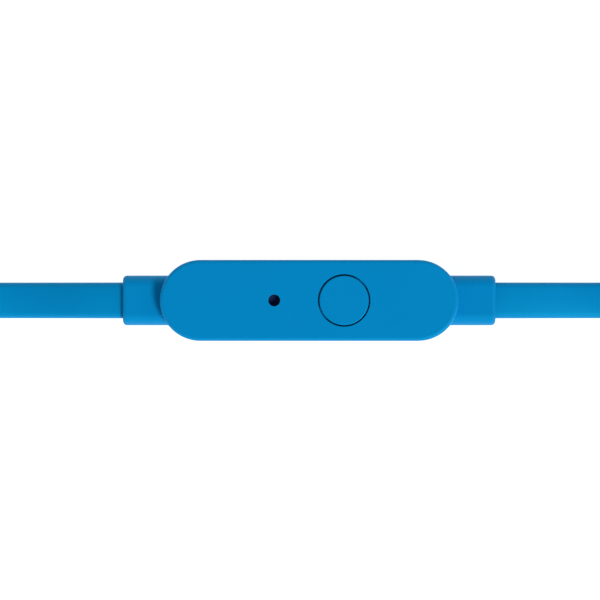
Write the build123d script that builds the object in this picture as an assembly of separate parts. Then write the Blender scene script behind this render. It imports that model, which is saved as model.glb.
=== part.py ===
from build123d import *
import math
import os

# Wired in-ear earphones with an in-line remote, on flat cords that are folded away for storage.
# Millimetres, +Z up. The origin is on the floor under the middle of the remote, whose back lies on z = 0 and
# whose button looks up. The cord runs along X: the earpieces are on the -X side and the plug on the +X side.

# Remote casing: a pill of two shells
BODY_LENGTH = 29.5
BODY_WIDTH = 8.0
BODY_THICKNESS = 5.6
PARTING_Z = 2.8
WALL = 0.85
CAVITY_LENGTH = 24.0
CAVITY_WIDTH = 6.2
CAVITY_CORNER = 0.4
FRONT_EDGE_RADIUS = 0.35
BACK_EDGE_RADIUS = 0.6
SEAM_CHAMFER = 0.06
LIP_HEIGHT = 0.4
LIP_WALL = 0.3
LIP_CLEARANCE = 0.03
MIC_X = -3.45
MIC_HOLE_RADIUS = 0.59
BUTTON_X = 3.44
BUTTON_HOLE_RADIUS = 2.59
CEILING_Z = BODY_THICKNESS - WALL

# Collars: the moulded strain reliefs at both ends of the remote
COLLAR_END_X = 18.5
COLLAR_WIDTH = 4.95
COLLAR_THICKNESS = 2.4
COLLAR_EDGE_RADIUS = 1.1
COLLAR_END_RADIUS = 0.4
COLLAR_FIT = 0.02
FLANGE_START_X = 11.0
FLANGE_WIDTH = 5.4
FLANGE_THICKNESS = 3.6
COLLAR_GRIP = 4.5

# Circuit board and what stands on it
BOARD_SIZE = (21.0, 5.6, 0.8)
BOARD_Z = 1.3
BOARD_TOP = BOARD_Z + BOARD_SIZE[2]
PIN_X = 7.4
PIN_RADIUS = 0.45
PIN_HOLE_RADIUS = 0.5
POST_X = 8.3
POST_Y = 2.1
POST_RADIUS = 0.5
PAD_X = 9.7
PAD_YS = (-1.8, -0.6, 0.6, 1.8)
WIRE_RADIUS = 0.15

# Button and its switch
BUTTON_RADIUS = 2.44
BUTTON_TOP = 5.66
BUTTON_EDGE_RADIUS = 0.12
BUTTON_FLANGE_RADIUS = 2.95
BUTTON_FLANGE = (4.3, 4.7)
BUTTON_BOSS_RADIUS = 0.9
ACTUATOR_TOP = 3.4
PRESS_GAP = 0.02
SWITCH_SIZE = (3.6, 3.6, 0.9)
SWITCH_CHAMBER_RADIUS = 1.45
SWITCH_FLOOR = 0.1
SWITCH_COVER = 0.15
ACTUATOR_RADIUS = 0.8

# Microphone
CAPSULE_RADIUS = 2.0
CAPSULE_Z = (2.6, 4.0)
BOOT_RADIUS = 2.5
BOOT_Z = (2.5, 4.62)
MESH_RADIUS = 1.1
MESH_Z = (4.64, 4.74)

# Flat cords: the shared one, and the narrower one to each earpiece
MAIN_WIDTH = 3.6
BRANCH_WIDTH = 2.0
CORD_THICKNESS = 1.2
LANE_PITCH = 1.27
FLOOR_Z = CORD_THICKNESS / 2 + 0.02

# Hank of the shared cord: two end loops with a tied waist, wound in two layers of turns on edge
MAIN_HANK = {"x": 65.2, "y": 11.9, "loop_x": 22.2, "inner": 6.7, "turns": 2.5, "top": 7.3}
# Hank of the two earpiece cords: one layer of turns for each
BRANCH_HANK = {"x": -57.0, "y": 12.7, "loop_x": 11.0, "inner": 4.8, "turns": 2.8, "top": 4.12}
WAIST = 0.8
HANK_MARGIN = CORD_THICKNESS / 2 + 0.1
TIE_WIDTH = 3.2
TIE_THICKNESS = 0.42
TIE_GAP = 0.03
TWIST_RADIUS = 0.75
TWIST_LENGTH = 7.2

# Splitter, where the shared cord becomes two
SPLITTER_X = (-56.0, -42.0)
SPLITTER_WIDTH = 6.2
SPLITTER_THICKNESS = 3.2
SPLITTER_SLOT_DEPTH = 2.5
SPLITTER_WALL = 0.7
BRANCH_Y = 1.35

# Plug, four contacts of 3.5 mm diameter
PLUG_Y = -1.4
PLUG_Z = 2.55
PLUG_BOOT_X = 59.5
PLUG_BOOT_LENGTH = 6.0
PLUG_GRIP_LENGTH = 16.5
PLUG_GRIP = (5.4, 5.0)
PLUG_CORD_DEPTH = 3.0
PLUG_STEP = 0.8
PLUG_STEP_RADIUS = 2.45
PLUG_RADIUS = 1.75
PLUG_CORE_RADIUS = 1.15
PLUG_ROD_RADIUS = 0.6
PLUG_SEGMENTS = {"sleeve": (0.0, 5.0), "ring_2": (5.6, 7.6), "ring_1": (8.2, 10.2)}
PLUG_TIP_START = 10.8
PLUG_LENGTH = 14.0

# Earpieces, which lie along X with their nozzles to -X
EAR_X = -80.5
EAR_Z = 5.5
EAR_YS = {"left": 17.0, "right": 5.4}
EAR_RADIUS = 5.2
EAR_BOOT_LENGTH = 7.0
EAR_CORD_DEPTH = 2.5
EAR_WALL = 0.7
NOZZLE_RADIUS = 2.3
NOZZLE_BORE = 1.7
TIP_FIT = 0.03


def disc(radius, low, high, x=0.0, y=0.0):
    """An upright cylinder from one height to another."""
    return Pos(x, y, low) * extrude(Circle(radius), high - low)


def slab(outline, low, high):
    """A flat outline in the XY plane, thickened from one height to another."""
    return Pos(0, 0, low) * extrude(outline, high - low)


def across(x, y, z):
    """A plane that faces +X at a point, with its own X along +Y."""
    return Plane((x, y, z), x_dir=(0, 1, 0), z_dir=(1, 0, 0))


def bar_along_x(outline, low, high, y=0.0, z=0.0):
    """A section in the YZ plane, thickened along X."""
    return extrude(across(low, y, z) * outline, high - low)


def turned(points):
    """A solid of revolution about the X axis, from (x, radius) points of a closed outline."""
    return revolve(make_face(Polyline(*[(x, r) for x, r in points], close=True)), Axis.X)


def edges_at(shape, axis, value, tolerance=0.01):
    """The edges that lie wholly at one coordinate."""
    return [e for e in shape.edges() if abs(tuple(e.center())[axis] - value) < tolerance
            and tuple(e.bounding_box().size)[axis] < tolerance]


# ---------------------------------------------------------------- remote

def collar_slots():
    """Where the two collars pass through the casing's end walls."""
    section = RectangleRounded(COLLAR_WIDTH + 2 * COLLAR_FIT, COLLAR_THICKNESS + 2 * COLLAR_FIT,
                               COLLAR_EDGE_RADIUS + COLLAR_FIT)
    slot = bar_along_x(section, CAVITY_LENGTH / 2 - 0.5, BODY_LENGTH, z=PARTING_Z)
    return slot + mirror(slot, Plane.YZ)


def lip_outline(clearance):
    """The ridge round the cavity that locates one shell in the other."""
    grown = LIP_WALL + clearance
    return RectangleRounded(CAVITY_LENGTH + 2 * grown, CAVITY_WIDTH + 2 * grown, CAVITY_CORNER + grown)


def cavity_outline():
    return RectangleRounded(CAVITY_LENGTH, CAVITY_WIDTH, CAVITY_CORNER)


def front_shell():
    shell = slab(SlotOverall(BODY_LENGTH, BODY_WIDTH), PARTING_Z, BODY_THICKNESS)
    shell = fillet(edges_at(shell, 2, BODY_THICKNESS), FRONT_EDGE_RADIUS)
    shell = chamfer(edges_at(shell, 2, PARTING_Z), SEAM_CHAMFER)
    shell -= slab(cavity_outline(), PARTING_Z, CEILING_Z)
    shell -= slab(lip_outline(LIP_CLEARANCE), PARTING_Z, PARTING_Z + LIP_HEIGHT + LIP_CLEARANCE)
    shell -= disc(BUTTON_HOLE_RADIUS, PARTING_Z, BODY_THICKNESS, BUTTON_X)
    shell -= disc(MIC_HOLE_RADIUS, PARTING_Z, BODY_THICKNESS, MIC_X)
    for x in (-POST_X, POST_X):
        for y in (-POST_Y, POST_Y):
            shell += disc(POST_RADIUS, BOARD_TOP + PRESS_GAP, CEILING_Z, x, y)
    return shell - collar_slots()


def rear_shell():
    shell = slab(SlotOverall(BODY_LENGTH, BODY_WIDTH), 0, PARTING_Z)
    shell = fillet(edges_at(shell, 2, 0), BACK_EDGE_RADIUS)
    shell = chamfer(edges_at(shell, 2, PARTING_Z), SEAM_CHAMFER)
    shell += slab(lip_outline(0), PARTING_Z - LIP_HEIGHT, PARTING_Z + LIP_HEIGHT)
    shell -= slab(cavity_outline(), WALL, PARTING_Z + LIP_HEIGHT)
    for side in (-1, 1):
        shell += Pos(side * (PAD_X - 0.4), 0, (WALL + BOARD_Z) / 2) * Box(0.8, 5.0, BOARD_Z - WALL)
        shell += disc(PIN_RADIUS, WALL, BOARD_TOP + 0.25, side * PIN_X)
    return shell - collar_slots()


def collar():
    """The right collar: a rounded block outside, and a flange that holds it inside the casing."""
    section = RectangleRounded(COLLAR_WIDTH, COLLAR_THICKNESS, COLLAR_EDGE_RADIUS)
    block = bar_along_x(section, CAVITY_LENGTH / 2, COLLAR_END_X, z=PARTING_Z)
    block = fillet(edges_at(block, 0, COLLAR_END_X), COLLAR_END_RADIUS)
    flange_section = RectangleRounded(FLANGE_WIDTH, FLANGE_THICKNESS, COLLAR_EDGE_RADIUS)
    block += bar_along_x(flange_section, FLANGE_START_X, CAVITY_LENGTH / 2, z=PARTING_Z)
    cord_hole = bar_along_x(SlotOverall(MAIN_WIDTH, CORD_THICKNESS), COLLAR_END_X - COLLAR_GRIP,
                            COLLAR_END_X, z=PARTING_Z)
    return block - cord_hole


def circuit_board():
    board = slab(RectangleRounded(BOARD_SIZE[0], BOARD_SIZE[1], 0.5), BOARD_Z, BOARD_TOP)
    for side in (-1, 1):
        board -= disc(PIN_HOLE_RADIUS, BOARD_Z, BOARD_TOP, side * PIN_X)
    return board


def board_components():
    """Chip resistors and capacitors, with their long side along Y."""
    places = [(0.35, 1.6), (0.35, -1.6), (6.4, 1.5), (6.4, -1.5), (-6.7, 1.8), (-6.7, -1.8)]
    height = 0.35
    chips = [Pos(x, y, BOARD_TOP + height / 2) * Box(0.5, 1.0, height) for x, y in places]
    return Compound(children=chips)


def solder_joints():
    joints = [disc(0.4, BOARD_TOP, BOARD_TOP + 0.3, side * PAD_X, y) for side in (-1, 1) for y in PAD_YS]
    return Compound(children=[fillet(edges_at(j, 2, BOARD_TOP + 0.3), 0.2) for j in joints])


def wires():
    """The right side's four conductors, from the collar's inner face to their pads."""
    made = []
    for y in PAD_YS:
        path = FilletPolyline((FLANGE_START_X, y * 0.6, PARTING_Z + 0.15), (FLANGE_START_X - 0.6, y * 0.6,
                              PARTING_Z + 0.15), (PAD_X, y, BOARD_TOP + 0.3), radius=0.4)
        start = Plane((FLANGE_START_X, y * 0.6, PARTING_Z + 0.15), z_dir=(-1, 0, 0))
        made.append(sweep(start * Circle(WIRE_RADIUS), path=path))
    return Compound(children=made)


def switch_body():
    low = BOARD_TOP
    body = Pos(BUTTON_X, 0, low + SWITCH_SIZE[2] / 2) * Box(*SWITCH_SIZE)
    body = fillet(body.edges().filter_by(Axis.Z), 0.3)
    body -= disc(SWITCH_CHAMBER_RADIUS, low + SWITCH_FLOOR, low + SWITCH_SIZE[2] - SWITCH_COVER, BUTTON_X)
    return body - disc(ACTUATOR_RADIUS + 0.06, low + SWITCH_SIZE[2] - SWITCH_COVER, low + SWITCH_SIZE[2],
                       BUTTON_X)


def snap_dome():
    """The sprung metal contact: a thin cap that stands on the switch's floor."""
    heights = [(0, 1.32), (0.14, 1.2), (0.27, 0.95), (0.35, 0.6), (0.38, 0.25), (0.38, 0)]
    sheet = 0.08
    under = [(0, 1.2), (0.14 - sheet * 0.7, 1.14), (0.27 - sheet, 0.91), (0.35 - sheet, 0.58),
             (0.38 - sheet, 0.25), (0.38 - sheet, 0)]
    cap = turned(heights + under[::-1])
    return Pos(BUTTON_X, 0, BOARD_TOP + SWITCH_FLOOR) * Rot(0, -90, 0) * cap


def switch_actuator():
    under_cover = BOARD_TOP + SWITCH_SIZE[2] - SWITCH_COVER - 0.03
    stem = disc(ACTUATOR_RADIUS, under_cover - 0.12, ACTUATOR_TOP, BUTTON_X)
    stem = fillet(edges_at(stem, 2, ACTUATOR_TOP), 0.1)
    return stem + disc(1.15, under_cover - 0.12, under_cover, BUTTON_X)


def button_cap():
    cap = disc(BUTTON_RADIUS, BUTTON_FLANGE[0], BUTTON_TOP, BUTTON_X)
    cap = fillet(edges_at(cap, 2, BUTTON_TOP), BUTTON_EDGE_RADIUS)
    cap += disc(BUTTON_FLANGE_RADIUS, *BUTTON_FLANGE, BUTTON_X)
    return cap + disc(BUTTON_BOSS_RADIUS, ACTUATOR_TOP + PRESS_GAP, BUTTON_FLANGE[0], BUTTON_X)


def microphone_capsule():
    capsule = disc(CAPSULE_RADIUS, *CAPSULE_Z, MIC_X)
    capsule = fillet(edges_at(capsule, 2, CAPSULE_Z[1]), 0.15)
    return capsule - disc(0.5, CAPSULE_Z[1] - 0.2, CAPSULE_Z[1], MIC_X)


def microphone_boot():
    boot = disc(BOOT_RADIUS, *BOOT_Z, MIC_X)
    boot -= disc(CAPSULE_RADIUS + PRESS_GAP, BOOT_Z[0], CAPSULE_Z[1], MIC_X)
    return boot - disc(MIC_HOLE_RADIUS, CAPSULE_Z[1], BOOT_Z[1], MIC_X)


def microphone_leads():
    return Compound(children=[disc(0.2, BOARD_TOP, CAPSULE_Z[0], MIC_X, y) for y in (-0.9, 0.9)])


def remote():
    right_collar = collar()
    right_wires = wires()
    return {
        "front_shell": front_shell(),
        "rear_shell": rear_shell(),
        "collar_right": right_collar,
        "collar_left": mirror(right_collar, Plane.YZ),
        "circuit_board": circuit_board(),
        "board_components": board_components(),
        "solder_joints": solder_joints(),
        "wires_right": right_wires,
        "wires_left": mirror(right_wires, Plane.YZ),
        "switch_body": switch_body(),
        "snap_dome": snap_dome(),
        "switch_actuator": switch_actuator(),
        "button_cap": button_cap(),
        "microphone_capsule": microphone_capsule(),
        "microphone_boot": microphone_boot(),
        "microphone_mesh": disc(MESH_RADIUS, *MESH_Z, MIC_X),
        "microphone_leads": microphone_leads(),
    }


# ---------------------------------------------------------------- cords

def flat_cord(name, points, width):
    """A flat cord along straight runs joined by the largest tangent arcs that the runs allow."""
    at = [Vector(*p) for p in points]
    runs = [b - a for a, b in zip(at, at[1:])]
    radii = []
    for a, b in zip(runs, runs[1:]):
        half_turn = math.radians(a.get_angle(b)) / 2
        radii.append(0.45 * min(a.length, b.length) / math.tan(half_turn))
    path = FilletPolyline(*at, radius=radii)
    start = Plane(at[0], x_dir=runs[0].cross(Vector(0, 0, 1)), z_dir=runs[0])
    tube = sweep(start * SlotOverall(width, CORD_THICKNESS), path=path)
    section = SlotOverall(width, CORD_THICKNESS).area
    length = sum(e.length for e in path.edges())
    print(name, "radii", [round(r, 1) for r in radii], "length", round(length, 1),
          "volume over section times length", round(tube.volume / (section * length), 3))
    return tube


def waist_of(hank):
    """Half the width of a hank where its tie pinches it."""
    return WAIST + hank["turns"] * LANE_PITCH + HANK_MARGIN


def hank_outline(hank):
    """Two round end loops joined by straight sides that run in to a narrow waist."""
    loop = hank["inner"] + hank["turns"] * LANE_PITCH + HANK_MARGIN
    waist = waist_of(hank)
    flat = TIE_WIDTH / 2 + 0.3
    along = hank["loop_x"] - flat
    lean = math.asin(loop / math.hypot(along, waist)) - math.atan2(waist, along)
    touch_x = hank["loop_x"] - loop * math.sin(lean)
    touch_y = loop * math.cos(lean)
    corner = [(flat, waist), (touch_x, touch_y)]
    ring = corner + [(x, -y) for x, y in reversed(corner)]
    outline = make_face(Polyline(*ring, *[(-x, -y) for x, y in ring], close=True))
    for side in (-1, 1):
        outline += Pos(side * hank["loop_x"], 0) * Circle(loop)
    return Pos(hank["x"], hank["y"]) * outline


def hank_solid(hank):
    """The outer shape of a hank, which lies on its tie at the waist and is lifted by as much there."""
    waist = waist_of(hank)
    lift = TIE_THICKNESS + TIE_GAP
    pinch = Pos(hank["x"], hank["y"], lift / 2) * Box(TIE_WIDTH + 0.6, 4 * waist, lift)
    raised = Pos(hank["x"], hank["y"], hank["top"]) * Box(TIE_WIDTH + 0.6, 2 * waist, 2 * lift)
    return slab(hank_outline(hank), 0, hank["top"]) - pinch + raised


def tie(hank, yaw):
    """A twist tie: a band round the waist, and its two ends twisted together and folded down."""
    waist = waist_of(hank)
    high = hank["top"] + 2 * (TIE_THICKNESS + TIE_GAP) + TIE_THICKNESS
    wide = 2 * (waist + TIE_GAP + TIE_THICKNESS)
    inside = (wide - 2 * TIE_THICKNESS, high - 2 * TIE_THICKNESS)
    band = RectangleRounded(wide, high, TIE_THICKNESS + 0.1) - RectangleRounded(*inside, 0.1)
    twist = Rot(0, 85, yaw) * Pos(0, 0, TWIST_LENGTH / 2) * Cylinder(TWIST_RADIUS, TWIST_LENGTH)
    tied = bar_along_x(band, -TIE_WIDTH / 2, TIE_WIDTH / 2, z=high / 2)
    return Pos(hank["x"], hank["y"], 0) * (tied + Pos(0, 0, high + 0.45) * twist)


def shared_cord():
    """The wider cord: remote to plug, with its hank, and remote to splitter."""
    grip_x = COLLAR_END_X - COLLAR_GRIP
    hank = MAIN_HANK
    lowest = hank["y"] - hank["inner"] - hank["turns"] * LANE_PITCH
    left_loop = hank["x"] - hank["loop_x"]
    upper = 5.47
    run = [(grip_x, 0, PARTING_Z), (21.5, 0, PARTING_Z), (28, 0, 0.85), (34, 0, FLOOR_Z), (38.6, 1.1, 1.1),
           (left_loop + 0.8, lowest - 0.1, 1.75)]
    tail = [(left_loop, lowest, upper), (left_loop + 4.5, lowest - 0.3, upper - 0.4), (51.6, -0.1, 3.6),
            (PLUG_BOOT_X - 2.8, PLUG_Y, PLUG_Z), (PLUG_BOOT_X + PLUG_CORD_DEPTH, PLUG_Y, PLUG_Z)]
    slot_end = SPLITTER_X[1] - SPLITTER_SLOT_DEPTH
    half = SPLITTER_THICKNESS / 2
    to_splitter = [(-grip_x, 0, PARTING_Z), (-20.5, 0, PARTING_Z), (-27, 0, 0.85), (-32.5, 0, FLOOR_Z),
                   (-38.6, 0, half), (slot_end, 0, half)]
    return {
        "cord_plug_run": flat_cord("cord_plug_run", run, MAIN_WIDTH),
        "cord_plug_hank": hank_solid(hank),
        "cord_plug_tail": flat_cord("cord_plug_tail", tail, MAIN_WIDTH),
        "hank_tie_right": tie(hank, 18),
        "cord_splitter_run": flat_cord("cord_splitter_run", to_splitter, MAIN_WIDTH),
    }


def branch_cords():
    """The 2 mm wide cords: splitter to hank, the hank they share, and hank to earpieces."""
    start_x = SPLITTER_X[0] + SPLITTER_SLOT_DEPTH
    mid_z = SPLITTER_THICKNESS / 2
    boot_x = EAR_X + EAR_BOOT_LENGTH
    end_x = boot_x - EAR_CORD_DEPTH
    left_y, right_y = EAR_YS["left"], EAR_YS["right"]
    routes = {
        "cord_left_lead": [(start_x, BRANCH_Y, mid_z), (-58, BRANCH_Y, mid_z), (-63, 3.2, 1.3), (-68, 4.3, 1.05)],
        "cord_right_lead": [(start_x, -BRANCH_Y, mid_z), (-57.5, -BRANCH_Y, mid_z), (-60.9, 0.2, 2.1),
                            (-64.4, 2.9, 2.8), (-68, 4.2, 3.1)],
        "cord_left_tail": [(-61.6, 12.9, 3.2), (-66.2, 14.2, 4.6), (boot_x + 2.8, left_y, EAR_Z),
                           (end_x, left_y, EAR_Z)],
        "cord_right_tail": [(-61.8, 10.8, 3.9), (-66.2, 8.9, 5.0), (boot_x + 2.8, right_y, EAR_Z),
                            (end_x, right_y, EAR_Z)],
    }
    made = {name: flat_cord(name, points, BRANCH_WIDTH) for name, points in routes.items()}
    made["cord_branch_hank"] = hank_solid(BRANCH_HANK)
    made["hank_tie_left"] = tie(BRANCH_HANK, -14)
    return made


# ---------------------------------------------------------------- splitter

def splitter_block():
    """The splitter's whole outside, as one solid round all its edges."""
    length = SPLITTER_X[1] - SPLITTER_X[0]
    middle = sum(SPLITTER_X) / 2
    block = slab(Pos(middle, 0) * RectangleRounded(length, SPLITTER_WIDTH, 1.4), 0, SPLITTER_THICKNESS)
    ends = edges_at(block, 2, 0) + edges_at(block, 2, SPLITTER_THICKNESS)
    return fillet(ends, 0.7), middle, length


def splitter_slots():
    z = SPLITTER_THICKNESS / 2
    slots = bar_along_x(SlotOverall(MAIN_WIDTH, CORD_THICKNESS), SPLITTER_X[1] - SPLITTER_SLOT_DEPTH,
                        SPLITTER_X[1], z=z)
    for side in (-1, 1):
        slots += bar_along_x(SlotOverall(BRANCH_WIDTH, CORD_THICKNESS), SPLITTER_X[0],
                             SPLITTER_X[0] + SPLITTER_SLOT_DEPTH, y=side * BRANCH_Y, z=z)
    return slots


def splitter():
    block, middle, length = splitter_block()
    half = SPLITTER_THICKNESS / 2
    inside = slab(Pos(middle, 0) * RectangleRounded(length - 2 * SPLITTER_SLOT_DEPTH, SPLITTER_WIDTH
                  - 2 * SPLITTER_WALL, 0.6), SPLITTER_WALL, SPLITTER_THICKNESS - SPLITTER_WALL)
    block -= inside + splitter_slots()
    lower = block & (Pos(middle, 0, half / 2) * Box(length + 2, SPLITTER_WIDTH + 2, half))
    upper = block & (Pos(middle, 0, half * 1.5) * Box(length + 2, SPLITTER_WIDTH + 2, half))
    crimps = [bar_along_x(Circle(0.35), middle - 2.6, middle + 2.6, y, half) for y in (-1.5, -0.5, 0.5, 1.5)]
    return {
        "splitter_top": upper,
        "splitter_base": lower,
        "splitter_crimps": Compound(children=crimps),
    }


# ---------------------------------------------------------------- plug

def plug():
    place = Pos(0, PLUG_Y, PLUG_Z)
    grip_x = PLUG_BOOT_X + PLUG_BOOT_LENGTH
    step_x = grip_x + PLUG_GRIP_LENGTH
    base_x = step_x + PLUG_STEP
    small = across(PLUG_BOOT_X, 0, 0) * RectangleRounded(4.6, 2.2, 0.9)
    large = across(grip_x, 0, 0) * RectangleRounded(5.2, 4.0, 1.4)
    boot = loft([small, large])
    for groove in (1.2, 2.7, 4.2):
        ring = bar_along_x(Rectangle(8, 8) - RectangleRounded(3.8 + 0.18 * groove, 1.6 + 0.3 * groove, 0.7),
                           PLUG_BOOT_X + groove, PLUG_BOOT_X + groove + 0.6)
        boot -= ring
    boot -= bar_along_x(SlotOverall(MAIN_WIDTH, CORD_THICKNESS), PLUG_BOOT_X, PLUG_BOOT_X + PLUG_CORD_DEPTH)
    grip = bar_along_x(RectangleRounded(*PLUG_GRIP, 2.2), grip_x, step_x)
    grip = fillet(edges_at(grip, 0, grip_x) + edges_at(grip, 0, step_x), 0.7)
    grip += bar_along_x(Circle(PLUG_STEP_RADIUS), step_x - 1.0, base_x)
    grip -= bar_along_x(Circle(PLUG_CORE_RADIUS), base_x - 5.0, base_x)
    core = [(base_x - 5.0, PLUG_ROD_RADIUS), (base_x - 5.0, PLUG_CORE_RADIUS)]
    starts = [low for low, high in PLUG_SEGMENTS.values()][1:] + [PLUG_TIP_START]
    for (_, high), start in zip(PLUG_SEGMENTS.values(), starts):
        core += [(base_x + high, PLUG_CORE_RADIUS), (base_x + high, PLUG_RADIUS),
                 (base_x + start, PLUG_RADIUS), (base_x + start, PLUG_CORE_RADIUS)]
    core = core[:-1] + [(base_x + PLUG_TIP_START, PLUG_ROD_RADIUS)]
    tip_x = base_x + PLUG_TIP_START
    end_x = base_x + PLUG_LENGTH
    tip = [(base_x - 5.0, 0), (base_x - 5.0, PLUG_ROD_RADIUS), (tip_x, PLUG_ROD_RADIUS), (tip_x, PLUG_RADIUS),
           (tip_x + 0.35, 1.68), (tip_x + 1.0, 1.12), (tip_x + 1.25, 1.12), (tip_x + 1.75, 1.66),
           (tip_x + 1.95, 1.7), (tip_x + 2.2, 1.6), (end_x - 0.25, 0.75), (end_x, 0.35), (end_x, 0)]
    made = {"plug_boot": boot, "plug_grip": grip, "plug_insulator": turned(core), "plug_tip": turned(tip)}
    for name, (low, high) in PLUG_SEGMENTS.items():
        ring = Circle(PLUG_RADIUS) - Circle(PLUG_CORE_RADIUS)
        made[f"plug_{name}"] = bar_along_x(ring, base_x + low, base_x + high)
    return {name: place * shape for name, shape in made.items()}


# ---------------------------------------------------------------- earpieces

def rear_housing():
    """The earpiece's back cup; x is measured from its rear face towards the nozzle."""
    outer = [(0, 0), (0, 2.6), (0.35, 3.6), (1.1, 4.5), (2.2, 5.05), (3.4, EAR_RADIUS), (5.6, EAR_RADIUS)]
    inner = [(5.6, EAR_RADIUS - EAR_WALL), (3.4, EAR_RADIUS - EAR_WALL), (2.0, 4.0), (1.0, 2.8), (0.8, 0)]
    return turned(outer + inner)


def front_housing():
    outer = [(6.4, 4.95), (7.4, 4.75), (8.6, 4.1), (9.6, 3.1), (10.2, NOZZLE_RADIUS), (14.0, NOZZLE_RADIUS),
             (14.3, NOZZLE_RADIUS + 0.15), (14.7, NOZZLE_RADIUS + 0.15), (15.2, NOZZLE_RADIUS - 0.15)]
    inner = [(15.2, NOZZLE_BORE), (10.4, NOZZLE_BORE), (9.4, 2.4), (8.4, 3.3), (7.4, 3.95), (6.4, 4.2)]
    return turned(outer + inner)


def bezel():
    return turned([(5.6, 4.3), (5.6, EAR_RADIUS), (5.75, EAR_RADIUS + 0.12), (6.25, EAR_RADIUS + 0.12),
                   (6.4, EAR_RADIUS), (6.4, 4.3)])


def ear_tip():
    """A soft mushroom: an inner sleeve on the nozzle, and an outer skirt folded back from its front."""
    bore = NOZZLE_RADIUS + 0.15 + TIP_FIT
    outer = [(17.2, bore + 0.15), (17.2, bore + 0.7), (16.7, 3.9), (15.6, 4.75), (14.0, 5.28), (12.2, 5.5),
             (11.4, 5.42), (11.2, 5.2)]
    under = [(11.6, 5.05), (12.3, 5.05), (13.9, 4.85), (15.2, 4.35), (15.9, 3.7), (15.6, 3.35),
             (11.0, 3.2), (10.8, 3.0)]
    return turned(outer + under + [(10.8, bore), (16.9, bore)])


def ear_boot():
    small = across(-EAR_BOOT_LENGTH, 0, 0) * RectangleRounded(2.9, 2.0, 0.8)
    large = across(0, 0, 0) * Circle(2.0)
    boot = loft([small, large])
    for groove in (1.3, 2.7, 4.1):
        x = -EAR_BOOT_LENGTH + groove
        half_y = 1.15 + 0.07 * groove
        half_z = 0.7 + 0.13 * groove
        keep = RectangleRounded(2 * half_y, 2 * half_z, 0.5)
        boot -= bar_along_x(Rectangle(8, 8) - keep, x, x + 0.5)
    return boot - bar_along_x(SlotOverall(BRANCH_WIDTH, CORD_THICKNESS), -EAR_BOOT_LENGTH,
                              -EAR_BOOT_LENGTH + EAR_CORD_DEPTH)


def driver_frame():
    return turned([(4.6, 3.6), (4.6, 4.15), (5.9, 4.25), (6.35, 4.25), (6.35, 3.9), (5.3, 3.6)])


def driver_magnet():
    return turned([(3.2, 0), (3.2, 2.9), (4.5, 3.3), (5.0, 3.3), (5.0, 0)])


def driver_diaphragm():
    return turned([(5.35, 0), (5.75, 2.0), (5.45, 2.6), (5.8, 3.2), (6.36, 3.85), (6.4, 3.85), (6.4, 3.8),
                   (5.88, 3.15), (5.55, 2.6), (5.85, 1.95), (5.45, 0)])


def earpiece():
    """One earpiece in its own frame, with x from the rear face towards the nozzle."""
    return {
        "ear_tip": ear_tip(),
        "nozzle_mesh": bar_along_x(Circle(NOZZLE_BORE - 0.02), 14.7, 14.85),
        "front_housing": front_housing(),
        "bezel": bezel(),
        "rear_housing": rear_housing(),
        "driver_frame": driver_frame(),
        "driver_magnet": driver_magnet(),
        "driver_diaphragm": driver_diaphragm(),
        "ear_boot": ear_boot(),
    }


def earpieces():
    made = {}
    for side, y in EAR_YS.items():
        for name, shape in earpiece().items():
            facing_left = mirror(shape, Plane.YZ)
            made[f"{name}_{side}"] = Pos(EAR_X, y, EAR_Z) * facing_left
    return made


def main():
    os.makedirs("parts", exist_ok=True)
    nodes = {**remote(), **shared_cord(), **branch_cords(), **splitter(), **plug(), **earpieces()}
    for name, shape in nodes.items():
        export_step(shape, f"parts/{name}.step")
    print(len(nodes), "nodes")


main()
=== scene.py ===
import math

import bmesh
import bpy
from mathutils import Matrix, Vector


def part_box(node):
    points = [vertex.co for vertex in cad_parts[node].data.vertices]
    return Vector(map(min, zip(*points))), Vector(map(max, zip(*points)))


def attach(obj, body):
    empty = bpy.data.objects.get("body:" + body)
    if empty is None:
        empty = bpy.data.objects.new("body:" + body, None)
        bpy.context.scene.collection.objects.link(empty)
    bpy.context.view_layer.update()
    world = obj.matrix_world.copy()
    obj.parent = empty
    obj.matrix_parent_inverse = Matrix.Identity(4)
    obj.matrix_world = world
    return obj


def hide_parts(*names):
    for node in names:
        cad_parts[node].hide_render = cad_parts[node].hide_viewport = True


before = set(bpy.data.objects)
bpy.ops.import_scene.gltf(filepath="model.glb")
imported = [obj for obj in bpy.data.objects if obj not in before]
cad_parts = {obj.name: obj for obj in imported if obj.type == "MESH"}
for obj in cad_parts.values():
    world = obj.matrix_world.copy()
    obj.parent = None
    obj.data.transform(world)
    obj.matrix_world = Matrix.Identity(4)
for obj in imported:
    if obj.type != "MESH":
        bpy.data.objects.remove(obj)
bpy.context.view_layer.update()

# Sizes and places are in millimetres, and are turned into metres by MM. Those of the lamp and floor are metres.
MM = 0.001
BODY = "earphones"

# The view: straight down on the remote, through a long lens. Its width is measured at the remote's face.
VIEW_WIDTH = 59.14
VIEW_MIDDLE = (-0.91, 0.043)
LENS = 180.0
SENSOR = 36.0

# Flat cords: the shared one, and the narrower one to each earpiece
MAIN_WIDTH = 3.6
BRANCH_WIDTH = 2.0
CORD_THICKNESS = 1.2

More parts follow.
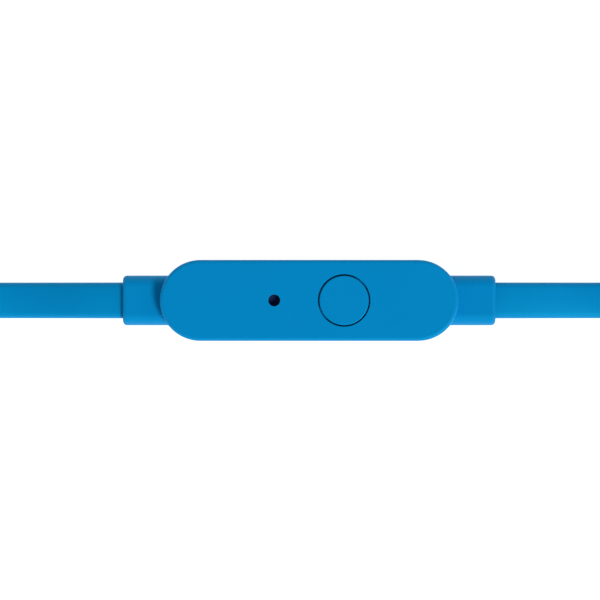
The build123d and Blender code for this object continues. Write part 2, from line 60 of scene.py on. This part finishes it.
# Hanks: turns on edge, side by side, round two end loops with a tied waist between them. A hank's inner is
# the radius of its innermost turn, and its levels are the heights of its layers.
LANE_PITCH = 1.27
MAIN_HANK = {"x": 65.2, "y": 11.9, "loop_x": 22.2, "inner": 6.7, "turns": 2.5, "way": 1, "top": 7.3}
BRANCH_HANK = {"x": -57.0, "y": 12.7, "loop_x": 11.0, "inner": 4.8, "turns": 2.8, "way": -1, "top": 4.12}
MAIN_LEVELS = (1.82, 5.47)
BRANCH_LEVELS = {"left": 1.02, "right": 3.07}
WAIST = 0.8
WAIST_FLAT = 1.9
LIFT = 0.45
LIFT_REACH = 5.0
LOOP_STEPS = 10
HALF_TURN = LOOP_STEPS + 5

# Twist ties: a ribbon round the waist, and its two ends wound round each other
TIE_WIDTH = 3.2
TIE_THICKNESS = 0.42
TIE_GAP = 0.03
TIE_ROOM = 0.7
TIE_CORNER = 0.5
TWIST_LENGTH = 7.0
TWIST_TURNS = 3.2
TWIST_SPREAD = 0.34
TWIST_LEAN = math.radians(85)
STRAND = (0.42, 0.2)
SPLAY = 0.35
SPLAY_FROM = 0.85

# Wire gauze at the end of each nozzle, measured from the earpiece's rear face
GAUZE_X = 14.8
GAUZE_RADIUS = 1.66
GAUZE_PITCH = 0.3
GAUZE_WIRE = 0.055

# Light. The sky is brightest at its edge, and the floor glows to a plain white.
SKY_EDGE = 1.0
SKY_TOP = 0.2
KEY_WAY = (0.44, -0.55, 0.80)
KEY_DISTANCE = 1.4
KEY_SIZE = 0.45
KEY_POWER = 15.4
FLOOR_HALF = 2.0
FLOOR_GREY = (0.28, 0.28, 0.28)
FLOOR_GLOW = 0.93


# ---------------------------------------------------------------- camera

def make_camera():
    face_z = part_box("front_shell")[1].z / MM
    distance = VIEW_WIDTH * LENS / SENSOR
    data = bpy.data.cameras.new("camera")
    data.lens = LENS
    data.sensor_width = SENSOR
    camera = bpy.data.objects.new("camera", data)
    camera.location = Vector((*VIEW_MIDDLE, face_z + distance)) * MM
    bpy.context.scene.collection.objects.link(camera)
    bpy.context.scene.camera = camera


# ---------------------------------------------------------------- mesh making

def link(name, mesh, body=BODY):
    piece = bpy.data.objects.new(name, mesh)
    bpy.context.scene.collection.objects.link(piece)
    if body:
        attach(piece, body)
    return piece


def end_of(node, way):
    """The middle of a CAD node's face that looks along +X or -X, in millimetres."""
    low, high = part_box(node)
    middle = (low + high) / 2 / MM
    return Vector(((high if way > 0 else low).x / MM, middle.y, middle.z))


def smooth_line(route, resolution=8):
    """The points, in metres, of the smooth spline that a route in millimetres controls."""
    curve = bpy.data.curves.new("route", "CURVE")
    curve.dimensions = "3D"
    curve.resolution_u = resolution
    spline = curve.splines.new("NURBS")
    spline.points.add(len(route) - 1)
    for point, place in zip(spline.points, route):
        point.co = (*(Vector(place) * MM), 1)
    spline.order_u = 3
    spline.use_endpoint_u = True
    holder = bpy.data.objects.new("route", curve)
    mesh = bpy.data.meshes.new_from_object(holder)
    points = [v.co.copy() for v in mesh.vertices]
    bpy.data.objects.remove(holder)
    bpy.data.curves.remove(curve)
    bpy.data.meshes.remove(mesh)
    return points


def travelled(points):
    """How far along the line each point is."""
    far = [0.0]
    for a, b in zip(points, points[1:]):
        far.append(far[-1] + (b - a).length)
    return far


def headings(points, closed=False):
    last = len(points) - 1
    found = []
    for i in range(len(points)):
        before = points[i - 1] if closed or i else points[0]
        after = points[(i + 1) % (last + 1)] if closed or i < last else points[last]
        found.append((after - before).normalized())
    return found


def swept(name, points, across, section, closed=False):
    """A mesh along points. section is an outline in metres of (across, over) places, and across a direction
    for each point. The UV map holds the distances round and along it, in millimetres."""
    ways = headings(points, closed)
    verts = []
    for point, way, side in zip(points, ways, across):
        side = (side - way * side.dot(way)).normalized()
        over = way.cross(side)
        verts += [point + side * a + over * b for a, b in section]
    ring = len(section)
    count = len(points)
    faces = []
    for i in range(count if closed else count - 1):
        low, high = i * ring, (i + 1) % count * ring
        for j in range(ring):
            beside = (j + 1) % ring
            faces.append((low + j, low + beside, high + beside, high + j))
    if not closed:
        faces += [tuple(range(ring))[::-1], tuple((count - 1) * ring + j for j in range(ring))]
    mesh = bpy.data.meshes.new(name)
    mesh.from_pydata(verts, [], faces)
    mesh.update()
    far = travelled(points)
    edge = travelled([Vector((*place, 0)) for place in section])
    uv = mesh.uv_layers.new(name="along")
    for loop in mesh.loops:
        i, j = divmod(loop.vertex_index, ring)
        uv.data[loop.index].uv = (edge[j] / MM, far[i] / MM)
    mesh.shade_smooth()
    return mesh


def stadium(width, thickness, steps=7):
    """A flat cord's section: straight faces and half-round edges."""
    radius = thickness / 2
    places = []
    for side in (1, -1):
        for k in range(steps + 1):
            angle = math.pi * (k / steps - 0.5)
            over = side * radius * math.sin(angle)
            places.append((side * (width / 2 - radius + radius * math.cos(angle)), over))
    return [(a * MM, b * MM) for a, b in places]


def eased(x):
    x = min(max(x, 0.0), 1.0)
    return x * x * (3 - 2 * x)


def lathed(name, runs, place, body=BODY, way=-1, steps=72):
    """A closed turned shape about X. Each run of (x, radius) places is one smooth curve, and runs meet at
    corners. It faces -X or +X from place, by its way."""
    outline = []
    for run in runs:
        flat = [(x, r, 0) for x, r in run]
        curve = smooth_line(flat, 5) if len(run) > 2 else [Vector(p) * MM for p in flat]
        outline += [p for p in curve if not outline or (p - outline[-1]).length > 1e-6]
    if (outline[0] - outline[-1]).length < 1e-6:
        outline.pop()
    verts, faces = [], []
    for p in outline:
        for k in range(steps):
            turn = 2 * math.pi * k / steps
            turned = Vector((way * p.x, p.y * math.cos(turn), p.y * math.sin(turn)))
            verts.append(turned + Vector(place) * MM)
    count = len(outline)
    for i in range(count):
        low, high = i * steps, (i + 1) % count * steps
        for k in range(steps):
            beside = (k + 1) % steps
            faces.append((low + k, high + k, high + beside, low + beside))
    mesh = bpy.data.meshes.new(name)
    mesh.from_pydata(verts, [], faces)
    mesh.validate()
    mesh.update()
    weld(mesh)
    mesh.shade_smooth()
    mesh.set_sharp_from_angle(angle=math.radians(35))
    return link(name, mesh, body)


def weld(mesh):
    """Joins the points that fall together on the axis, and turns the faces outwards."""
    work = bmesh.new()
    work.from_mesh(mesh)
    bmesh.ops.remove_doubles(work, verts=work.verts, dist=1e-7)
    bmesh.ops.recalc_face_normals(work, faces=work.faces)
    work.to_mesh(mesh)
    work.free()


# ---------------------------------------------------------------- cords

def hank_station(hank, index, outward):
    """A place on a hank's line, in its own frame. Half a turn has HALF_TURN places: along one side through
    the waist, and then round a loop. The next half turn is the same, turned by 180 degrees."""
    radius = hank["inner"] + outward
    waist = WAIST + outward
    along = hank["loop_x"] - WAIST_FLAT
    lean = math.asin(radius / math.hypot(along, waist)) - math.atan2(waist, along)
    step = (math.pi + 2 * lean) / LOOP_STEPS
    pushed = radius / (0.75 + 0.25 * math.cos(step))

    def on_loop(k):
        angle = k * step - math.pi / 2 - lean
        return Vector((hank["loop_x"] + pushed * math.cos(angle), pushed * math.sin(angle), 0))

    k = index % HALF_TURN
    waist_in, waist_out = Vector((-WAIST_FLAT, -waist, 0)), Vector((WAIST_FLAT, -waist, 0))
    if k >= 5:
        place = on_loop(k - 5)
    else:
        place = (-on_loop(LOOP_STEPS), (waist_in - on_loop(LOOP_STEPS)) / 2, waist_in, waist_out,
                 (waist_out + on_loop(0)) / 2)[k]
    return place if index // HALF_TURN % 2 == 0 else -place


def hank_route(hank, first, last, outward, level):
    """The places of a hank's turns from one station to another, lifted over the tie at the waist."""
    route = []
    for index in range(first, last + 1):
        place = hank_station(hank, index, outward(index))
        lift = LIFT * math.exp(-(place.x / LIFT_REACH) ** 2)
        route.append((hank["x"] + hank["way"] * place.x, hank["y"] + place.y, level(index) + lift))
    return route


def flat_cord(name, route, width, edge_from, edge_to, material, replaced, **facts):
    """A flat cord. It lies flat at both ends, and stands on its edge between two distances in millimetres
    measured from its ends; each is (where it starts to turn, where it has turned)."""
    points = smooth_line(route)
    far = travelled(points)
    across = []
    for way, here in zip(headings(points), far):
        start = eased((here / MM - edge_from[0]) / (edge_from[1] - edge_from[0]))
        left = (far[-1] - here) / MM
        end = eased((left - edge_to[0]) / (edge_to[1] - edge_to[0]))
        turn = math.pi / 2 * start * end
        level = Vector((0, 0, 1)).cross(way).normalized()
        across.append(level * math.cos(turn) + way.cross(level) * -math.sin(turn))
    piece = link(name, swept(name, points, across, stadium(width, CORD_THICKNESS)))
    piece.data.materials.append(material)
    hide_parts(*replaced)
    return piece


def plug_cord(material, with_pieces):
    hank = MAIN_HANK
    middle = 5 * HALF_TURN
    reach = hank["turns"] * LANE_PITCH
    low, high = MAIN_LEVELS
    run = [(14.0, 0, 2.8), (21.5, 0, 2.8), (28, 0, 0.75), (33.5, 0, 0.85), (38.3, 1.1, 1.9),
           (43.0, 1.95, 1.85)]
    turns = hank_route(hank, 0, 2 * middle - 1, lambda i: reach * abs(1 - i / middle),
                       lambda i: low + (high - low) * eased((i - middle + 4) / 8))
    tail = [(47.5, 1.7, 5.07), (51.6, -0.1, 3.6), (56.7, -1.4, 2.55), (62.5, -1.4, 2.55)]
    return flat_cord("plug_cord", run + turns + tail, MAIN_WIDTH, (16.5, 28), (6.5, 18), material,
                     ["cord_plug_run", "cord_plug_hank", "cord_plug_tail"], exit=(0.0185, 0, 0.0028),
                     far_end="plug", lay="coiled", with_pieces=with_pieces)


def splitter_cord(material, with_pieces):
    route = [(-14.0, 0, 2.8), (-20.5, 0, 2.8), (-27, 0, 0.85), (-32.5, 0, 0.62), (-38.6, 0, 1.6),
             (-44.5, 0, 1.6)]
    return flat_cord("splitter_cord", route, MAIN_WIDTH, (90, 91), (90, 91), material, ["cord_splitter_run"],
                     exit=(-0.0185, 0, 0.0028), far_end="fitting", lay="loose", with_pieces=with_pieces)


def branch_cord(side, material, with_pieces=()):
    hank = BRANCH_HANK
    level = BRANCH_LEVELS[side]
    first, last = 6, 6 * HALF_TURN + 3
    reach = hank["turns"] * LANE_PITCH
    leads = {
        "left": [(-53.5, 1.35, 1.6), (-58, 1.35, 1.6), (-63, 3.2, 1.3)],
        "right": [(-53.5, -1.35, 1.6), (-57.5, -1.35, 1.6), (-60.9, 0.2, 2.1), (-64.4, 2.9, 2.8)],
    }
    tails = {
        "left": [(-60.2, 12.1, 1.75), (-61.9, 12.9, 2.9), (-66.2, 14.2, 4.6), (-70.7, 17.0, 5.5),
                 (-76, 17.0, 5.5)],
        "right": [(-60.3, 11.5, 3.9), (-62.0, 10.8, 4.2), (-66.2, 8.9, 5.0), (-70.7, 5.4, 5.5),
                  (-76, 5.4, 5.5)],
    }
    turns = hank_route(hank, first, last, lambda i: reach * (last - i) / (last - first), lambda i: level)
    replaced = [f"cord_{side}_lead", f"cord_{side}_tail"] + (["cord_branch_hank"] if side == "left" else [])
    lead_y = leads[side][0][1]
    return flat_cord(f"{side}_ear_cord", leads[side] + turns + tails[side], BRANCH_WIDTH, (3, 12), (4, 17),
                     material, replaced, exit=[MM * c for c in (-56, lead_y, 1.6)], far_end="object",
                     lay="coiled", with_pieces=with_pieces)


# ---------------------------------------------------------------- ties

def tie_band(hank, side):
    """The band of a twist tie round a hank's waist: a ribbon with its wire raised along the middle."""
    reach = hank["turns"] * LANE_PITCH
    half = WAIST + reach + TIE_ROOM + TIE_GAP + TIE_THICKNESS / 2
    high = hank["top"] + 2 * (TIE_THICKNESS + TIE_GAP) + TIE_THICKNESS / 2
    low = TIE_THICKNESS / 2
    points = []
    corners = [(half, low, -90), (half, high, 0), (-half, high, 90), (-half, low, 180)]
    for y, z, start in corners:
        centre_y = y - math.copysign(TIE_CORNER, y)
        centre_z = z - TIE_CORNER if z == high else z + TIE_CORNER
        for k in range(7):
            angle = math.radians(start + 15 * k)
            points.append(Vector((hank["x"], hank["y"] + centre_y + TIE_CORNER * math.cos(angle),
                                  centre_z + TIE_CORNER * math.sin(angle))) * MM)
    wing, wire = TIE_WIDTH / 2, TIE_THICKNESS / 2
    top = [(-wing, 0.02), (-wing + 0.05, 0.07), (-0.5, 0.07), (-0.28, 0.15), (0, wire),
           (0.28, 0.15), (0.5, 0.07), (wing - 0.05, 0.07), (wing, 0.02)]
    section = [(a * MM, b * MM) for a, b in top] + [(a * MM, -b * MM) for a, b in top[::-1]]
    return swept(f"tie_band_{side}", points, [Vector((1, 0, 0))] * len(points), section, closed=True)


def tie_twist(hank, side):
    """The tie's two ends, wound round each other and folded down along the hank."""
    high = hank["top"] + 2 * (TIE_THICKNESS + TIE_GAP) + TIE_THICKNESS
    way = Vector((math.sin(TWIST_LEAN), 0, math.cos(TWIST_LEAN)))
    side_way = Vector((0, 1, 0))
    up = way.cross(side_way)
    base = Vector((hank["x"], hank["y"], high + STRAND[0]))
    steps = 60
    angles = [2 * math.pi * k / 14 for k in range(14)]
    section = [(STRAND[0] * MM * math.cos(a), STRAND[1] * MM * math.sin(a)) for a in angles]
    strands = []
    for strand in range(2):
        points, across = [], []
        for k in range(steps + 1):
            t = k / steps
            angle = 2 * math.pi * TWIST_TURNS * t + math.pi * strand
            spread = TWIST_SPREAD + SPLAY * eased((t - SPLAY_FROM) / (1 - SPLAY_FROM))
            out = side_way * math.cos(angle) + up * math.sin(angle)
            points.append((base + way * TWIST_LENGTH * t + out * spread) * MM)
            across.append(side_way * -math.sin(angle) + up * math.cos(angle))
        strands.append(swept(f"tie_twist_{side}_{strand}", points, across, section))
    return strands


def twist_tie(hank, side, material):
    pieces = [link(f"tie_{side}_band", tie_band(hank, side))]
    pieces += [link(f"tie_{side}_end_{k}", mesh) for k, mesh in enumerate(tie_twist(hank, side))]
    for piece in pieces:
        piece.data.materials.append(material)
    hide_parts(f"hank_tie_{side}")
    return pieces


# ---------------------------------------------------------------- materials

class Nodes:
    """A material with one Principled shader, and short calls for the nodes that feed it."""

    def __init__(self, name, color, roughness, metallic=0.0, specular=0.5, tint=(1, 1, 1)):
        self.material = bpy.data.materials.new(name)
        self.material.use_nodes = True
        self.tree = self.material.node_tree
        self.shader = self.tree.nodes["Principled BSDF"]
        self.shader.inputs["Base Color"].default_value = (*color, 1)
        self.shader.inputs["Roughness"].default_value = roughness
        self.shader.inputs["Metallic"].default_value = metallic
        self.shader.inputs["Specular IOR Level"].default_value = specular
        self.shader.inputs["Specular Tint"].default_value = (*tint, 1)
        self.color = color
        self.bumps = None

    def add(self, kind, inputs=(), **settings):
        node = self.tree.nodes.new(kind)
        for name, value in settings.items():
            setattr(node, name, value)
        for name, value in dict(inputs).items():
            if isinstance(value, bpy.types.NodeSocket):
                self.tree.links.new(value, node.inputs[name])
            else:
                node.inputs[name].default_value = value
        return node

    def noise(self, scale, detail=3.0, source=None, stretch=None):
        where = source or self.add("ShaderNodeTexCoord").outputs["Object"]
        if stretch:
            where = self.add("ShaderNodeMapping", {"Vector": where, "Scale": stretch}).outputs["Vector"]
        inputs = {"Vector": where, "Scale": scale, "Detail": detail}
        return self.add("ShaderNodeTexNoise", inputs).outputs["Fac"]

    def bump(self, height, strength, depth):
        inputs = {"Height": height, "Strength": strength, "Distance": depth * MM}
        if self.bumps:
            inputs["Normal"] = self.bumps
        self.bumps = self.add("ShaderNodeBump", inputs).outputs["Normal"]
        self.tree.links.new(self.bumps, self.shader.inputs["Normal"])

    def vary_color(self, factor, amount):
        """Mottles the base colour by a share of itself each way."""
        dark = (*[c * (1 - amount) for c in self.color], 1)
        light = (*[min(c * (1 + amount), 1) for c in self.color], 1)
        mix = self.add("ShaderNodeMix", {"Factor": factor}, data_type="RGBA")
        mix.inputs[6].default_value = dark
        mix.inputs[7].default_value = light
        self.tree.links.new(mix.outputs[2], self.shader.inputs["Base Color"])

    def vary_roughness(self, factor, low, high):
        spread = self.add("ShaderNodeMapRange", {"Value": factor, "To Min": low, "To Max": high})
        self.tree.links.new(spread.outputs["Result"], self.shader.inputs["Roughness"])


BLUE = (0.0004, 0.214, 0.515)
CORD_BLUE = (0.0004, 0.218, 0.51)
SHEEN_BLUE = (0.06, 1.0, 0.75)


def casing_material():
    """Spark-textured moulded plastic with a satin finish."""
    made = Nodes("casing_blue", BLUE, 0.5, specular=0.25, tint=SHEEN_BLUE)
    grain = made.noise(9000, 2)
    made.vary_color(made.noise(160, 4), 0.03)
    made.vary_roughness(made.noise(700, 3), 0.44, 0.56)
    made.bump(grain, 0.35, 0.006)
    made.bump(made.noise(45, 2), 0.15, 0.02)
    return made.material


def soft_material(name, color):
    """The softer plastic of the collars and strain reliefs."""
    made = Nodes(name, color, 0.52, specular=0.25, tint=SHEEN_BLUE)
    made.vary_color(made.noise(300, 3), 0.035)
    made.vary_roughness(made.noise(900, 2), 0.46, 0.58)
    made.bump(made.noise(6500, 2), 0.35, 0.007)
    return made.material


def jacket_material():
    """An extruded cord jacket: faint die lines run along it, and its finish wanders slowly."""
    made = Nodes("jacket_blue", CORD_BLUE, 0.52, specular=0.25, tint=SHEEN_BLUE)
    along = made.add("ShaderNodeUVMap", uv_map="along").outputs["UV"]
    lines = made.noise(3.0, 2, along, (4.0, 0.05, 1.0))
    made.vary_color(made.noise(0.5, 3, along), 0.03)
    made.vary_roughness(made.noise(0.4, 2, along), 0.46, 0.58)
    made.bump(lines, 0.3, 0.012)
    made.bump(made.noise(6000, 2), 0.25, 0.006)
    return made.material


def silicone_material():
    made = Nodes("tip_silicone", (0.004, 0.19, 0.47), 0.4, specular=0.45)
    made.shader.inputs["Subsurface Weight"].default_value = 0.35
    made.shader.inputs["Subsurface Radius"].default_value = (0.1, 0.5, 1.0)
    made.shader.inputs["Subsurface Scale"].default_value = 1.2 * MM
    made.vary_color(made.noise(260, 2), 0.03)
    made.vary_roughness(made.noise(600, 3), 0.34, 0.48)
    made.bump(made.noise(3500, 2), 0.2, 0.006)
    return made.material


def metal_material(name, color, roughness, scratches=(1, 30, 30)):
    """Polished or plated metal with fine marks that run round or across it."""
    made = Nodes(name, color, roughness, metallic=1.0)
    marks = made.noise(400, 4, None, scratches)
    made.vary_roughness(marks, roughness * 0.8, roughness * 1.35)
    made.vary_color(made.noise(120, 2), 0.03)
    made.bump(marks, 0.08, 0.004)
    return made.material


def dull_material(name, color, roughness=0.5, grain=2500):
    made = Nodes(name, color, roughness, specular=0.4)
    made.vary_color(made.noise(400, 3), 0.08)
    made.vary_roughness(made.noise(800, 2), roughness * 0.9, roughness * 1.1)
    made.bump(made.noise(grain, 2), 0.3, 0.006)
    return made.material


def board_material():
    """Green solder mask with paler tracks under it."""
    made = Nodes("board_green", (0.012, 0.16, 0.06), 0.3, specular=0.5)
    where = made.add("ShaderNodeTexCoord").outputs["Object"]
    tracks = made.add("ShaderNodeTexBrick", {
        "Vector": where, "Scale": 420.0, "Mortar Size": 0.03, "Color1": (0.012, 0.16, 0.06, 1),
        "Color2": (0.015, 0.2, 0.075, 1), "Mortar": (0.03, 0.27, 0.1, 1)})
    made.tree.links.new(tracks.outputs["Color"], made.shader.inputs["Base Color"])
    made.bump(tracks.outputs["Fac"], 0.3, 0.02)
    return made.material


def dress(material, *nodes):
    """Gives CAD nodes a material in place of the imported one."""
    for name in nodes:
        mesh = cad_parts[name].data
        mesh.materials.clear()
        mesh.materials.append(material)


def both(name):
    return [f"{name}_left", f"{name}_right"]


def dress_frame(casing, soft):
    dress(casing, "front_shell", "rear_shell", "button_cap", "splitter_top", "splitter_base", "plug_grip")
    dress(soft, *both("collar"), "plug_boot", *both("ear_boot"))
    dress(dull_material("plug_black", (0.012, 0.012, 0.013), 0.35), "plug_insulator")
    dress(board_material(), "circuit_board")
    dress(dull_material("chip_body", (0.05, 0.045, 0.04)), "board_components")
    dress(metal_material("solder", (0.7, 0.7, 0.72), 0.3), "solder_joints")
    dress(dull_material("wire_enamel", (0.5, 0.14, 0.04), 0.3), *both("wires"))
    dress(dull_material("switch_black", (0.02, 0.02, 0.022), 0.45), "switch_body", "switch_actuator")
    dress(metal_material("dome_steel", (0.6, 0.6, 0.58), 0.25), "snap_dome")
    dress(metal_material("capsule_metal", (0.72, 0.72, 0.73), 0.35), "microphone_capsule", "microphone_leads")
    dress(dull_material("boot_rubber", (0.01, 0.01, 0.012), 0.7), "microphone_boot")
    dress(dull_material("mic_cloth", (0.002, 0.012, 0.06), 0.9), "microphone_mesh")
    dress(metal_material("crimp_tin", (0.7, 0.62, 0.45), 0.35), "splitter_crimps")
    dress(dull_material("driver_black", (0.02, 0.02, 0.02), 0.5), *both("driver_frame"))
    dress(metal_material("magnet_nickel", (0.6, 0.6, 0.62), 0.25), *both("driver_magnet"))
    dress(dull_material("diaphragm_film", (0.6, 0.6, 0.56), 0.2), *both("driver_diaphragm"))


# ---------------------------------------------------------------- plug

def barrel(low, high, radius, core=1.15, soft=0.07):
    """The outline of a plated ring of the plug, with its edges just broken."""
    side = radius - soft
    return [[(low, core), (low, side)], [(low, side), (low, radius), (low + soft, radius)],
            [(low + soft, radius), (high - soft, radius)],
            [(high - soft, radius), (high, radius), (high, side)],
            [(high, side), (high, core)], [(high, core), (low, core)]]


def make_plug(metal):
    tip = [[(10.8, 0), (10.8, 1.68)], [(10.8, 1.68), (10.8, 1.75), (10.87, 1.75)],
           [(10.87, 1.75), (11.05, 1.75), (11.2, 1.72), (11.5, 1.4), (11.75, 1.1), (12.0, 1.08), (12.2, 1.28),
            (12.5, 1.62), (12.75, 1.72), (13.0, 1.6), (13.25, 1.32)],
           [(13.25, 1.32), (13.75, 0.62)], [(13.75, 0.62), (13.92, 0.4), (14.0, 0.25), (14.0, 0)],
           [(14.0, 0), (10.8, 0)]]
    shapes = {"plug_sleeve": barrel(0, 5.0, 1.75), "plug_ring_2": barrel(5.6, 7.6, 1.75),
              "plug_ring_1": barrel(8.2, 10.2, 1.75), "plug_tip": tip}
    made = []
    shoulder = end_of("plug_sleeve", -1)
    for name, runs in shapes.items():
        piece = lathed(f"{name}_shape", runs, shoulder, way=1)
        piece.data.materials.append(metal)
        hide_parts(name)
        made.append(piece)
    return made


# ---------------------------------------------------------------- earpieces

def make_earpiece(side, casing, silicone, bezel_metal, mesh_metal):
    """One earpiece's turned shapes, with x measured from its rear face towards the nozzle."""
    place = end_of(f"rear_housing_{side}", 1)
    tip_body = f"{side}_ear_tip"
    shapes = {
        "rear_housing": (BODY, casing, "casing_plastic", [
            [(0, 0), (0, 2.35)], [(0, 2.35), (0.02, 2.62), (0.16, 2.72)],
            [(0.16, 2.72), (0.3, 2.8), (0.32, 3.0)],
            [(0.32, 3.0), (0.34, 3.22), (0.55, 3.5), (1.1, 4.4), (2.2, 5.12), (3.6, 5.2), (5.55, 5.2)],
            [(5.55, 5.2), (5.6, 5.15)], [(5.6, 5.15), (5.6, 4.5)],
            [(5.6, 4.5), (3.4, 4.5), (2.0, 4.1), (1.0, 2.8), (0.8, 0)]]),
        "bezel": (BODY, bezel_metal, "bezel_metal", [
            [(5.62, 4.3), (5.62, 5.2)], [(5.62, 5.2), (5.66, 5.32), (5.8, 5.32)], [(5.8, 5.32), (6.2, 5.32)],
            [(6.2, 5.32), (6.34, 5.32), (6.38, 5.2)], [(6.38, 5.2), (6.38, 4.3)],
            [(6.38, 4.3), (5.62, 4.3)]]),
        "front_housing": (BODY, casing, "casing_plastic", [
            [(6.4, 4.2), (6.4, 4.9)], [(6.4, 4.9), (6.42, 4.98), (6.55, 4.98)],
            [(6.55, 4.98), (7.5, 4.95), (8.7, 4.3), (9.5, 3.1), (9.9, 2.35), (10.6, 2.3)],
            [(10.6, 2.3), (13.9, 2.3)], [(13.9, 2.3), (14.1, 2.3), (14.15, 2.45), (14.4, 2.45)],
            [(14.4, 2.45), (14.7, 2.45), (15.0, 2.3), (15.2, 2.15)],
            [(15.2, 2.15), (15.25, 1.9), (15.2, 1.7)],
            [(15.2, 1.7), (10.4, 1.7)], [(10.4, 1.7), (9.4, 2.4), (8.4, 3.3), (7.4, 3.95), (6.4, 4.2)]]),
        "ear_tip": (tip_body, silicone, "silicone", [
            [(10.8, 2.48), (10.8, 3.05)], [(10.8, 3.05), (10.85, 3.2), (11.2, 3.2)],
            [(11.2, 3.2), (15.2, 3.3)],
            [(15.2, 3.3), (15.9, 3.35), (15.9, 3.9), (15.2, 4.4), (13.9, 4.95), (12.3, 5.1), (11.35, 4.95)],
            [(11.35, 4.95), (11.1, 4.95), (11.05, 5.2), (11.2, 5.42)],
            [(11.2, 5.42), (12.2, 5.6), (14.0, 5.4), (15.9, 4.9), (16.9, 3.9), (17.15, 3.2)],
            [(17.15, 3.2), (17.2, 2.85), (17.0, 2.63)], [(17.0, 2.63), (16.6, 2.5), (16.0, 2.48)],
            [(16.0, 2.48), (10.8, 2.48)]]),
    }
    for name, (body, material, finish, runs) in shapes.items():
        piece = lathed(f"{name}_{side}_shape", runs, place, body)
        piece.data.materials.append(material)
        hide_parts(f"{name}_{side}")
    grille = woven_disc(f"nozzle_grille_{side}", GAUZE_RADIUS, place - Vector((GAUZE_X, 0, 0)))
    grille.data.materials.append(mesh_metal)
    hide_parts(f"nozzle_mesh_{side}")


def woven_disc(name, radius, middle):
    """A round piece of woven wire gauze that faces along X."""
    angles = [math.pi / 3 * k for k in range(6)]
    section = [(GAUZE_WIRE * MM * math.cos(a), GAUZE_WIRE * MM * math.sin(a)) for a in angles]
    verts, faces = [], []
    reach = int(radius / GAUZE_PITCH)
    for weave in (0, 1):
        for line in range(-reach, reach + 1):
            off = line * GAUZE_PITCH
            half = math.sqrt(max(radius ** 2 - off ** 2, 0))
            steps = max(int(2 * half / (GAUZE_PITCH / 2)), 2)
            points = []
            for k in range(steps + 1):
                t = -half + 2 * half * k / steps
                wave = GAUZE_WIRE * math.cos(math.pi * (t / GAUZE_PITCH + line + weave))
                points.append(middle + Vector((wave, off, t) if weave else (wave, t, off)))
            strand = swept("strand", [p * MM for p in points], [Vector((1, 0, 0))] * len(points), section)
            base = len(verts)
            verts += [v.co.copy() for v in strand.vertices]
            faces += [tuple(base + i for i in face.vertices) for face in strand.polygons]
            bpy.data.meshes.remove(strand)
    mesh = bpy.data.meshes.new(name)
    mesh.from_pydata(verts, [], faces)
    mesh.shade_smooth()
    return link(name, mesh)


# ---------------------------------------------------------------- floor and lights

def make_floor():
    half = FLOOR_HALF
    corners = [(-half, -half, 0), (half, -half, 0), (half, half, 0), (-half, half, 0)]
    mesh = bpy.data.meshes.new("floor")
    mesh.from_pydata(corners, [], [(0, 1, 2, 3)])
    floor = link("floor", mesh, None)
    made = Nodes("floor_white", FLOOR_GREY, 0.9, specular=0.0)
    made.shader.inputs["Emission Color"].default_value = (1, 1, 1, 1)
    made.shader.inputs["Emission Strength"].default_value = FLOOR_GLOW
    floor.data.materials.append(made.material)


def area_light(name, direction, distance, size, power):
    data = bpy.data.lights.new(name, "AREA")
    data.shape = "DISK"
    data.size = size
    data.energy = power
    lamp = bpy.data.objects.new(name, data)
    away = Vector(direction).normalized()
    lamp.location = away * distance
    lamp.rotation_mode = "QUATERNION"
    lamp.rotation_quaternion = away.to_track_quat("Z", "Y")
    bpy.context.scene.collection.objects.link(lamp)


def make_lights():
    world = bpy.data.worlds.new("studio")
    world.use_nodes = True
    tree = world.node_tree
    tree.nodes["Background"].inputs["Color"].default_value = (1, 1, 1, 1)
    where = tree.nodes.new("ShaderNodeTexCoord")
    parts = tree.nodes.new("ShaderNodeSeparateXYZ")
    tree.links.new(where.outputs["Generated"], parts.inputs["Vector"])
    spread = tree.nodes.new("ShaderNodeMapRange")
    spread.interpolation_type = "SMOOTHSTEP"
    for name, value in (("From Min", 0.0), ("From Max", 1.0), ("To Min", SKY_EDGE), ("To Max", SKY_TOP)):
        spread.inputs[name].default_value = value
    tree.links.new(parts.outputs["Z"], spread.inputs["Value"])
    tree.links.new(spread.outputs["Result"], tree.nodes["Background"].inputs["Strength"])
    bpy.context.scene.world = world
    area_light("key", KEY_WAY, KEY_DISTANCE, KEY_SIZE, KEY_POWER)


def main():
    bpy.context.scene.view_settings.view_transform = "Standard"
    make_camera()
    jacket = jacket_material()
    tie_black = dull_material("tie_black", (0.015, 0.015, 0.017), 0.4)
    hanks = {"right": MAIN_HANK, "left": BRANCH_HANK}
    ties = {side: twist_tie(hank, side, tie_black) for side, hank in hanks.items()}
    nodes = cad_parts
    plug = [nodes[name] for name in ("plug_boot", "plug_grip", "plug_insulator")]
    plug += make_plug(metal_material("plug_nickel", (0.66, 0.64, 0.6), 0.16))
    plug_cord(jacket, plug + ties["right"])
    splitter_cord(jacket, [nodes[name] for name in ("splitter_top", "splitter_base", "splitter_crimps")])
    branch_cord("left", jacket, ties["left"])
    branch_cord("right", jacket)
    casing = casing_material()
    dress_frame(casing, soft_material("soft_blue", BLUE))
    silicone = silicone_material()
    bezel_metal = metal_material("bezel_polished", (0.74, 0.75, 0.77), 0.14)
    mesh_metal = metal_material("gauze_steel", (0.35, 0.35, 0.36), 0.35)
    for side in ("left", "right"):
        make_earpiece(side, casing, silicone, bezel_metal, mesh_metal)
    make_floor()
    make_lights()


main()
